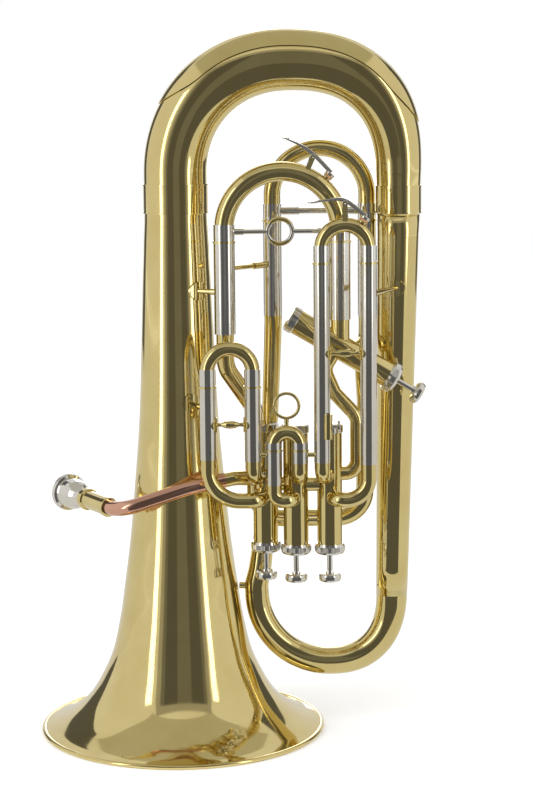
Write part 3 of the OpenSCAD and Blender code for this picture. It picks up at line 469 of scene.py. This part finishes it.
class BuildBell(bpy.types.Operator):
    """Spins the flared bell with its rolled rim"""
    bl_idname = "euphonium.bell"
    bl_label = "Bell"

    def execute(self, context):
        s = sizes()
        rim, top = BELL_HI.x, BELL_HI.z
        bead, bead_z, bead_facets, sides = 0.0023, 0.002, 20, 160
        line = smooth_line([(s.throat + (rim - s.throat) * left, top * high) for high, left in FLARE], 6)
        inner = []
        for i, (r, z) in enumerate(line):
            r0, z0 = line[max(i - 1, 0)]
            r1, z1 = line[min(i + 1, len(line) - 1)]
            length = math.hypot(r1 - r0, z1 - z0)
            inner.append((r - s.sheet * (z1 - z0) / length, z + s.sheet * (r1 - r0) / length))
        count = len(line)
        horn = lathe(line + inner[::-1], sides, True, (0, count - 1, count, 2 * count - 1))
        turns = [(rim - bead + bead * math.cos(a), max(0.0, bead_z + bead * math.sin(a)))
                 for a in (2 * math.pi * k / bead_facets for k in range(bead_facets))]
        wire = lathe(turns, sides, True, ())
        swept("bell_spun", join([horn, wire]), lacquered_brass(), "lacquered_brass", "bell")
        return {"FINISHED"}


class BuildMainTube(bpy.types.Operator):
    """Sweeps the top bow, the outer branch, the lower bow and the inner branch"""
    bl_idname = "euphonium.main_tube"
    bl_label = "Main tube"

    def execute(self, context):
        s = sizes()
        brass = lacquered_brass()
        joint, branch_joint = BELL_HI.z, BRANCH_HI.z
        steps = 96
        turn = [math.pi * (1 - i / steps) for i in range(steps + 1)]
        path = [(0, 0, joint), (0, 0, (joint + BOW_CENTRE) / 2)] + [bow_point(a) for a in turn]
        radii = [s.throat] * 2 + [bow_radius(a) for a in turn]
        path += [(2 * BOW_HALF, 0, BOW_CENTRE - 0.012), (2 * BOW_HALF, 0, branch_joint)]
        radii += [s.branch_top] * 2
        swept("top_bow_drawn", tube(path, radii, s.sheet, s.sides), brass, "lacquered_brass", "top_bow")

        foot_x, foot_z, top_x = 0.2078, 0.137, 2 * BOW_HALF
        mid = branch_joint - 0.015
        line = smooth_line([
            (top_x, 0, branch_joint, s.branch_top), (top_x, 0, mid, s.branch_top - 0.0003),
            (top_x - 0.0004, 0, mid - 0.02, s.branch_top - 0.0012),
            (foot_x + 0.0005, 0, foot_z + 0.025, s.branch_foot + 0.0005),
            (foot_x, 0, foot_z + 0.008, s.branch_foot + 0.0001), (foot_x, 0, foot_z, s.branch_foot)], 4)
        branch = tube([p[:3] for p in line], [p[3] for p in line], s.sheet, s.sides)
        swept("outer_branch_drawn", branch, brass, "lacquered_brass", "outer_branch")

        mid_x, inner_x, drop, steps, path, radii = 0.145, 0.0746, 0.0714, 60, [], []
        for i in range(steps + 1):
            a = math.pi * i / steps
            q = (oval(a, foot_x - mid_x, drop, 2.4) if a < math.pi / 2
                 else oval(a, mid_x - inner_x, drop, 2.0))
            path.append((mid_x + q * math.cos(a), 0, foot_z - q * math.sin(a)))
            radii.append(s.branch_foot + (s.lower_bow - s.branch_foot) * i / steps)
        swept("lower_bow_bent", tube(path, radii, s.sheet, s.sides), brass, "lacquered_brass", "lower_bow")

        line = smooth_line([
            (0.0926, 0.010, 0.4102, 0.0087), (0.0926, 0.010, 0.3982, 0.0086),
            (0.0912, 0.0095, 0.362, 0.0084), (0.0889, 0.008, 0.310, 0.0081),
            (0.0866, 0.0065, 0.255, 0.0087), (0.0832, 0.0045, 0.208, 0.0096),
            (0.0784, 0.0012, 0.164, 0.0111), (inner_x, 0, foot_z + 0.008, s.lower_bow - 0.0001),
            (inner_x, 0, foot_z, s.lower_bow)], 6)
        branch = tube([p[:3] for p in line], [p[3] for p in line], s.sheet, s.sides)
        swept("inner_branch_drawn", branch, brass, "lacquered_brass", "inner_branch")
        return {"FINISHED"}


class BuildGuard(bpy.types.Operator):
    """Presses the thin guard plate that lies over the outside of the top bow"""
    bl_idname = "euphonium.guard"
    bl_label = "Bow guard"

    def execute(self, context):
        # Degrees of the bow at the plate's ends, and of the tube at each side of its widest place
        begin, end, widest = 150.6, 22.4, 62
        across, along_count = 24, 90
        # Height of its faces over the bow, and the half step of angle used to find the bow's direction
        under, over, nudge = 0.00045, 0.0012, 0.005
        rings, sharp = [], []
        for i in range(along_count + 1):
            degrees = begin + (end - begin) * i / along_count
            taper = min(1, min(begin + 0.4 - degrees, degrees - end + 0.4) / 20)
            half_width = math.radians(widest * math.sin(math.pi / 2 * taper) ** 0.6)
            a = math.radians(degrees)
            along = bow_point(a - nudge) - bow_point(a + nudge)
            out = along.cross(Vector((0, 1, 0))).normalized()
            if out.dot(bow_point(a) - Vector((BOW_HALF, 0, BOW_CENTRE))) < 0:
                out = -out
            ring = []
            for lift, steps in ((under, range(across + 1)), (over, range(across, -1, -1))):
                for j in steps:
                    g = half_width * (2 * j / across - 1)
                    ring.append(bow_point(a) + (bow_radius(a) + lift) * (
                        out * math.cos(g) + Vector((0, 1, 0)) * math.sin(g)))
            rings.append(ring)
        verts, faces, _ = rings_mesh(rings, False, ())
        count = len(rings[0])
        for i in range(len(rings) - 1):
            sharp += [(i * count + k, (i + 1) * count + k) for k in (0, across, across + 1, count - 1)]
        faces += [tuple(range(count))[::-1], tuple(range((len(rings) - 1) * count, len(rings) * count))]
        swept("guard_pressed", (verts, faces, sharp), lacquered_brass(), "lacquered_brass", "bow_guard")
        return {"FINISHED"}


class BuildSmallTubes(bpy.types.Operator):
    """Bends the leadpipe, the valve elbows, the return tube, the crossover and the main slide's foot"""
    bl_idname = "euphonium.small_tubes"
    bl_label = "Small tubes"

    def execute(self, context):
        s = sizes()
        below = Vector((-math.sin(VALVE_4_SLOPE), 0, -math.cos(VALVE_4_SLOPE)))
        v1, v2, v3 = VALVES.values()
        # Heights of the ports of the front slides, and how far from a casing's axis a tube ends
        upper, lower, touch = 264, 243, CASING_R + 0.4
        # The leadpipe: its direction at the receiver, its corner, its bow and its end
        aside = Vector((0.507, -0.862, 0))
        corner = Vector((-56, -57.5, 230.5))
        bow, end = Vector((14, -57.5, 253.5)), Vector((45, -50.5, 258.5))
        turn = end + (end - bow).normalized() * 10.5
        lead = [corner - 21 * aside, corner, bow, end]
        brass = lacquered_brass()

        def near(a, b):
            """Stops a tube just outside the casing whose axis b is the route's end"""
            a, b = Vector(a), Vector(b)
            return b + (a - b).normalized() * touch

        def upright(v):
            return Vector((*v, 0)) * MM, Vector((0, 0, 1)), wall_at

        def port(distance):
            return VALVE_4_TOP + VALVE_4_DOWN * distance

        # Tubes are cut to a surface just inside the casing's wall
        wall_at = (CASING_R - 0.1) * MM
        sloped = (VALVE_4_TOP * MM, VALVE_4_DOWN, wall_at)
        cross, main = port(54), port(66)
        main_bend = (184, 8.5, main.z + 2)
        runs = [
            ("leadpipe", "leadpipe_drawn", "rose_brass", rose_brass(), 7.1,
             [(lead, (34, 60), None, None)]),
            ("leadpipe_tail", "leadpipe_tail_bent", "lacquered_brass", brass, 7.1,
             [([end, turn, near(turn, (v1[0], v1[1] + 4, 256.6))], (18,), None, upright(v1))]),
            ("crossover", "crossover_bent", "lacquered_brass", brass, 6.9,
             [([cross + below * touch, cross + below * 26, (150.5, -41, 341), (172, -45.5, 318),
                (172, -46.5, upper), near((172, -46.5, upper), (*v3, upper))],
               (14, 14, 14, 12), sloped, upright(v3))]),
            ("return_tube_4", "return_tube_bent", "lacquered_brass", brass, 8.5,
             [([(46.8, -38, 398), (46.8, -38, 366), (74.3, -18.5, 322), (74.3, -16.3, 214),
                (180.3, -16.3, 214), (181, -26, 330), near((181, -26, 330), port(82))],
               (24, 22, 26, 27, 20), None, sloped)]),
            ("foot_main", "main_slide_foot_bent", "lacquered_brass", brass, 8.1,
             [([(184, 10, 409), main_bend, near(main_bend, main)], (16,), None, sloped)]),
        ]
        # Upper leg and its end, valve, lower leg and its end, sideways offset of the lower port, bend radii
        elbows = (
            ("1", 72.5, 281.4, v1, 30.2, 283.2, -4.4, (30, 11)),
            ("2", 116.7, 279.1, v2, 92.0, 258.1, -3.6, (8.8, 8)),
            ("3", 138.0, 279.8, v3, 181.8, 277.5, 4.2, (21, 10)),
        )
        for number, x_hi, z_hi, v, x_lo, z_lo, off, bends in elbows:
            high = [(x_hi, FRONT_Y, z_hi), (x_hi, FRONT_Y, upper), near((x_hi, FRONT_Y, upper), (*v, upper))]
            px = v[0] + off
            low = [(x_lo, FRONT_Y, z_lo), (x_lo, FRONT_Y, lower), (px, FRONT_Y, lower),
                   (px, v[1] - touch, lower)]
            runs.append(("elbows_" + number, "elbows_%s_bent" % number, "lacquered_brass", brass, 7.4,
                         [(high, (11,), None, upright(v)), (low, bends, None, upright(v))]))
        for cad, name, slot, material, radius, routes in runs:
            parts = []
            for points, bends, first, last_wall in routes:
                path = bent(points, bends)
                parts.append(tube(path, [radius * MM] * len(path), s.tube_wall, 48, first, last_wall))
            swept(name, join(parts), material, slot, cad)
        return {"FINISHED"}


class FinishParts(bpy.types.Operator):
    """Gives the fixed and moving metal parts their finishes, with brass rings and nickel collars"""
    bl_idname = "euphonium.finish_parts"
    bl_label = "Metal finishes"

    def execute(self, context):
        look = finish()
        slots = {p["node"]: p["material_slot"] for p in frame["record"]["subparts"]}
        made = {"lacquered_brass": lacquered_brass, "nickel_silver": nickel_silver,
                "silver_plate": silver_plate, "rose_brass": rose_brass}
        # Height of each sleeve's mouth and length of its slide's collar (mm)
        slides = {"1": (353.3, 16), "2": (292.6, 6.3), "3": (469.2, 15.6), "4": (486.7, 15.6),
                  "main": (503.0, 15.2)}
        # The nickel runs this far past the collar's edge (metres)
        margin = 0.0002
        for name, obj in frame["nodes"].items():
            material = made[slots[name]]()
            key = name.rsplit("_", 1)[-1]
            if name.startswith("sleeves_"):
                mouth = slides[key][0] * MM
                material = nickel_silver("Nickel silver sleeve " + key, [(mouth - 0.0019, mouth + 0.001)],
                                         tuple(look.brass))
            elif name.startswith("slide_") and key in slides:
                mouth, collar = (v * MM for v in slides[key])
                material = lacquered_brass("Brass slide with nickel collars " + key,
                                           [(mouth, mouth + collar + margin)], tuple(look.nickel))
            for slot in obj.material_slots:
                slot.material = material
            if not obj.material_slots:
                obj.data.materials.append(material)
        return {"FINISHED"}


class BuildFittings(bpy.types.Operator):
    """Forges the two water keys, and makes the lyre box with its thumb screw"""
    bl_idname = "euphonium.fittings"
    bl_label = "Fittings"

    def execute(self, context):
        sides = 28
        for number, centre, bow, pin_at, lift, cork_at, tip_at, reach in WATER_KEYS:
            centre = Vector(centre)

            def polar(radius, degrees):
                a = math.radians(degrees)
                return centre + Vector((math.cos(a), 0, math.sin(a))) * radius

            def flat(part):
                return math.copysign(abs(part) ** 0.35, part)

            tip, pin = polar(bow + reach, tip_at), polar(bow + lift, pin_at)
            over = polar(bow + lift + 2.4, pin_at)
            up = (polar(2, cork_at) - polar(1, cork_at)).normalized()
            seat_top = polar(bow + 1.3, cork_at)
            middle = (tip + over) / 2 + (polar(1.6, tip_at) - centre)
            line = [Vector(p) for p in smooth_line(
                [tuple(p) for p in (tip, middle, over, seat_top + up * 5.6)], 12)]
            last = len(line) - 1
            rings = []
            for i, point in enumerate(line):
                along = (line[min(i + 1, last)] - line[max(i - 1, 0)]).normalized()
                out = along.cross(Vector((0, 1, 0)))
                part = i / last
                thick = share(((0, 0.7), (0.3, 1.1), (0.62, 1.9), (1, 2.0)), part)
                wide = share(((0, 2.9), (0.15, 3.0), (0.5, 2.5), (1, 2.4)), part)
                rings.append([
                    (point + out * thick * flat(math.sin(a)) + Vector((0, wide * flat(math.cos(a)), 0))) * MM
                    for a in (2 * math.pi * k / sides for k in range(sides))])
            v, f, sharp = rings_mesh(rings, False, ())
            f += [tuple(range(sides))[::-1], tuple(range(last * sides, (last + 1) * sides))]
            parts = [(v, f, sharp)]
            # Hub on the pin, the pin, the cork's cup and the thumb plate
            for at, axis, profile in (
                    (pin + Vector((0, -3, 0)), (0, 1, 0),
                     ((0.01, 0), (2.3, 0), (2.6, 0.3), (2.6, 5.7), (2.3, 6), (0.01, 6))),
                    (pin + Vector((0, -7.4, 0)), (0, 1, 0),
                     ((0.01, 0), (1.2, 0), (1.2, 14.8), (0.01, 14.8))),
                    (seat_top + up * 2.3, up,
                     ((0.01, 0), (4.2, 0), (4.6, 0.4), (4.6, 2.6), (4.1, 3.1), (0.01, 3.1))),
                    (tip - Vector((0, 0, 0.4)), (0, 0, 1),
                     ((0.01, 0), (2.8, 0), (3.2, 0.4), (3.2, 1), (2.8, 1.4), (0.01, 1.4)))):
                parts.append(turned(at, axis, profile, 32))
            v, f, sharp = join(parts)
            key = piece("water_key_forged_" + number, v, f, silver_plate(), "key_" + number,
                        sharp)
            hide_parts("water_key_" + number)
        # Lyre box: a square socket with a rounded front, and its screw
        low, high = (Vector(c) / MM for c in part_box("lyre_box"))
        centre_x, centre_y, foot = low.x + 4, (low.y + high.y) / 2, low.z

        def socket(half_x, half_y, corner, y):
            ring = []
            for quarter, (sx, sy) in enumerate(((1, 1), (-1, 1), (-1, -1), (1, -1))):
                round_here = corner if sy < 0 else min(corner, 0.6)
                for k in range(9):
                    a = math.pi / 2 * (quarter + k / 8)
                    ring.append((centre_x + sx * (half_x - round_here) + round_here * math.cos(a),
                                 y + sy * (half_y - round_here) + round_here * math.sin(a)))
            return ring

        shell, slot = socket(4, 5.5, 3.8, centre_y), socket(2, 2.1, 0.3, centre_y - 1.3)
        levels = [(shell, foot), (shell, high.z), (slot, high.z), (slot, foot)]
        rings = [[Vector((x, y, z)) * MM for x, y in ring] for ring, z in levels]
        box = rings_mesh(rings, True, (0, 1, 2, 3))
        swept("lyre_socket", box, lacquered_brass(), "lacquered_brass", "lyre_box")
        parts = []
        for start, profile in ((3.6, ((0.01, 0), (2.2, 0), (2.2, 5.4), (0.01, 5.4))),
                               (8.5, ((0.01, 0), (4.7, 0), (5.4, 0.5), (5.4, 2.1), (4.7, 2.6),
                                      (0.01, 2.6)))):
            parts.append(turned(Vector((centre_x + start, low.y + 5, foot + 12)), (1, 0, 0), profile, 40))
        v, f, sharp = join(parts)
        piece("lyre_screw", v, f, nickel_silver(), "horn", sharp)
        return {"FINISHED"}


class BuildTrim(bpy.types.Operator):
    """Adds the knurled bands of the caps and the corks of the water keys"""
    bl_idname = "euphonium.trim"
    bl_label = "Trim"

    def execute(self, context):
        places = [(number, Vector((x, y, VALVE_FOOT)), Vector((0, 0, -1)))
                  for number, (x, y) in VALVES.items()]
        places.append(("4", VALVE_4_TOP + VALVE_4_DOWN * VALVE_4_LENGTH, VALVE_4_DOWN))
        # Straight knurl round each lower cap: ridges stand out, and grooves stay just over the cap
        ridges, cap_r, groove = 66, 0.0144, 0.00002
        for number, foot, axis in places:
            place = Matrix.Translation(foot * MM) @ (-axis).to_track_quat("Z", "Y").to_matrix().to_4x4()
            rings = []
            for z, grow in ((0.0030, -0.0002), (0.0034, 0.00022), (0.0078, 0.00022), (0.0082, -0.0002)):
                ring = []
                for k in range(2 * ridges):
                    a, r = math.pi * k / ridges, cap_r + (grow if k % 2 else min(grow, groove))
                    ring.append(place @ Vector((r * math.cos(a), r * math.sin(a), z)))
                rings.append(ring)
            v, f, _ = rings_mesh(rings, False, ())
            band = piece("cap_knurl_" + number, v, f, silver_plate(), "horn")
            for face in band.data.polygons:
                face.use_smooth = False
        for number, centre, bow, _, _, cork_at, _, _ in WATER_KEYS:
            lean = math.radians(cork_at)
            out = Vector((math.cos(lean), 0, math.sin(lean)))
            at = (Vector(centre) + out * (bow + 1.25)) * MM
            place = Matrix.Translation(at) @ out.to_track_quat("Z", "Y").to_matrix().to_4x4()
            v, f, sharp = lathe([(0.0001, 0), (0.0042, 0), (0.0044, 0.0006), (0.0044, 0.0024),
                                 (0.0001, 0.0024)], 40, True, (1, 3))
            piece("key_cork_" + number, [place @ p for p in v], f, cork(), "key_" + number,
                  sharp)
        return {"FINISHED"}


def reflector(name, verts, faces, material):
    """A card seen only in the metal's reflections"""
    card = piece(name, verts, faces, material, None)
    card.visible_camera = False
    card.visible_diffuse = False
    card.visible_shadow = False


class BuildStage(bpy.types.Operator):
    """Sets the pale floor, the soft lights, the reflector panels and the camera"""
    bl_idname = "euphonium.stage"
    bl_label = "Stage"

    def execute(self, context):
        scene = context.scene
        world = bpy.data.worlds.new("Studio")
        scene.world = world
        world.use_nodes = True
        # A white room; what the metal mirrors is a softer grey tent
        tree = world.node_tree
        rays = node(tree, "ShaderNodeLightPath")
        tone = node(tree, "ShaderNodeMix", {
            0: rays.outputs["Is Glossy Ray"], "A": (1, 1, 1, 1), "B": (*linear("#E4E3E1"), 1)},
            data_type="RGBA")
        tree.links.new(tone.outputs["Result"], tree.nodes["Background"].inputs["Color"])
        wide, far, steps = 6.0, 3.4, 12
        floor = piece("floor", [(-wide, -wide, 0), (wide, -wide, 0), (wide, wide, 0), (-wide, wide, 0)],
                      [(0, 1, 2, 3)], paper("White paper sweep", "#FFFFFF"), None)
        # Panels seen only in reflections: azimuth from the camera side in degrees, height range in metres
        dark = panel("Charcoal flag", "#686868", 0.8)
        dusk = panel("Charcoal flag, soft edge", "#686868", 1.3)
        dim = panel("Charcoal flag, outer edge", "#6A6967", 2.7)
        bright = panel("Strip light", "#FFFEFB", 3.2)
        panels = (
            ("flag_front_left", -28, -8, -0.4, 3.0, dark),
            ("flag_front", -8, 14, -0.4, 3.0, dusk),
            ("flag_front_right", 14, 33, -0.4, 3.0, dark),
            ("flag_front_top", -34, 38, 3.0, 3.7, dim),
            ("flag_edge_left", -34, -28, -0.4, 3.0, dusk),
            ("flag_edge_right", 33, 38, -0.4, 3.0, dusk),
            ("flag_outer_left", -41, -34, -0.4, 3.7, dim),
            ("flag_outer_right", 38, 44, -0.4, 3.7, dim),
            ("strip_left", -56, -47, -0.2, 2.6, bright),
            ("strip_right", 47, 55, -0.2, 2.6, bright),
            ("flag_left_back", -150, -128, -0.2, 3.0, dark),
            ("flag_right_back", 122, 146, -0.2, 3.0, dark),
            ("strip_back", 172, 188, -0.2, 2.6, bright),
        )
        for name, start, stop, low, high, material in panels:
            verts, faces = [], []
            for i in range(steps + 1):
                a = math.radians(start + (stop - start) * i / steps)
                for z in (low, high):
                    verts.append((MIDDLE.x + far * math.sin(a), -far * math.cos(a), z))
            for i in range(steps):
                faces.append((2 * i, 2 * i + 2, 2 * i + 3, 2 * i + 1))
            reflector(name, verts, faces, material)
        # A pale floor, a dark flag lying in front of the horn, and a ceiling
        mid = panel("Pale floor", "#DEDDD9", 1.0)
        for name, corners, height, material in (
                ("floor_tone", ((-5, -5), (5, -5), (5, 5), (-5, 5)), 0.002, mid),
                ("flag_floor", ((-0.15, -0.25), (0.42, -0.25), (2.9, -3.4), (-2.5, -3.4)), 0.003, dark),
                ("ceiling", ((-3, -3), (3, -3), (3, 3), (-3, 3)), 4.2, panel("Ceiling", "#BDBBB2", 1.0))):
            reflector(name, [(x, y, height) for x, y in corners], [(0, 1, 2, 3)], material)
        for name, place, size, power in (
                ("soft_left", (-2.2, -1.2, 1.5), 1.0, 22), ("soft_right", (2.4, -1.0, 1.3), 0.7, 16)):
            lamp = bpy.data.lights.new(name, "AREA")
            lamp.size = size
            lamp.energy = power
            obj = bpy.data.objects.new(name, lamp)
            obj.location = place
            obj.rotation_euler = (MIDDLE - Vector(place)).to_track_quat("-Z", "Y").to_euler()
            obj.visible_glossy = False
            scene.collection.objects.link(obj)
        # The camera stands 2.1 m in front of the horn and looks 9 degrees down
        camera = bpy.data.cameras.new("camera")
        camera.sensor_fit = "VERTICAL"
        camera.sensor_height = 36
        camera.lens = 99
        camera.clip_end = 50
        view = bpy.data.objects.new("camera", camera)
        turn = Matrix.Rotation(math.radians(80.96), 4, "X") @ Matrix.Rotation(math.radians(-0.5), 4, "Z")
        view.matrix_world = Matrix.Translation((0.08561, -2.1187, 0.66496)) @ turn
        scene.collection.objects.link(view)
        scene.camera = view
        scene.view_settings.view_transform = "Standard"
        scene.view_settings.look = "None"
        return {"FINISHED"}


class EuphoniumPanel(bpy.types.Panel):
    """Lists the steps that build the horn"""
    bl_idname = "VIEW3D_PT_euphonium"
    bl_label = "Euphonium"
    bl_space_type = "VIEW_3D"
    bl_region_type = "UI"
    bl_category = "Euphonium"

    def draw(self, context):
        for step in STEPS:
            self.layout.operator(step.bl_idname)
        for group in (context.scene.horn_sizes, context.scene.horn_finish):
            box = self.layout.box()
            for name in group.__annotations__:
                box.prop(group, name)


STEPS = (BuildStage, BuildBell, BuildMainTube, BuildGuard, BuildSmallTubes, FinishParts, BuildFittings,
         BuildTrim)
CLASSES = (HornSizes, HornFinish, *STEPS, EuphoniumPanel)


def register():
    for cls in CLASSES:
        bpy.utils.register_class(cls)
    bpy.types.Scene.horn_sizes = bpy.props.PointerProperty(type=HornSizes)
    bpy.types.Scene.horn_finish = bpy.props.PointerProperty(type=HornFinish)


def unregister():
    del bpy.types.Scene.horn_finish
    del bpy.types.Scene.horn_sizes
    for cls in reversed(CLASSES):
        bpy.utils.unregister_class(cls)


def main():
    register()
    bpy.ops.euphonium.stage()
    bpy.ops.euphonium.bell()
    bpy.ops.euphonium.main_tube()
    bpy.ops.euphonium.guard()
    bpy.ops.euphonium.small_tubes()
    bpy.ops.euphonium.finish_parts()
    bpy.ops.euphonium.fittings()
    bpy.ops.euphonium.trim()
    bpy.context.view_layer.update()
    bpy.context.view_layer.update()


if __name__ == "__main__":
    main()
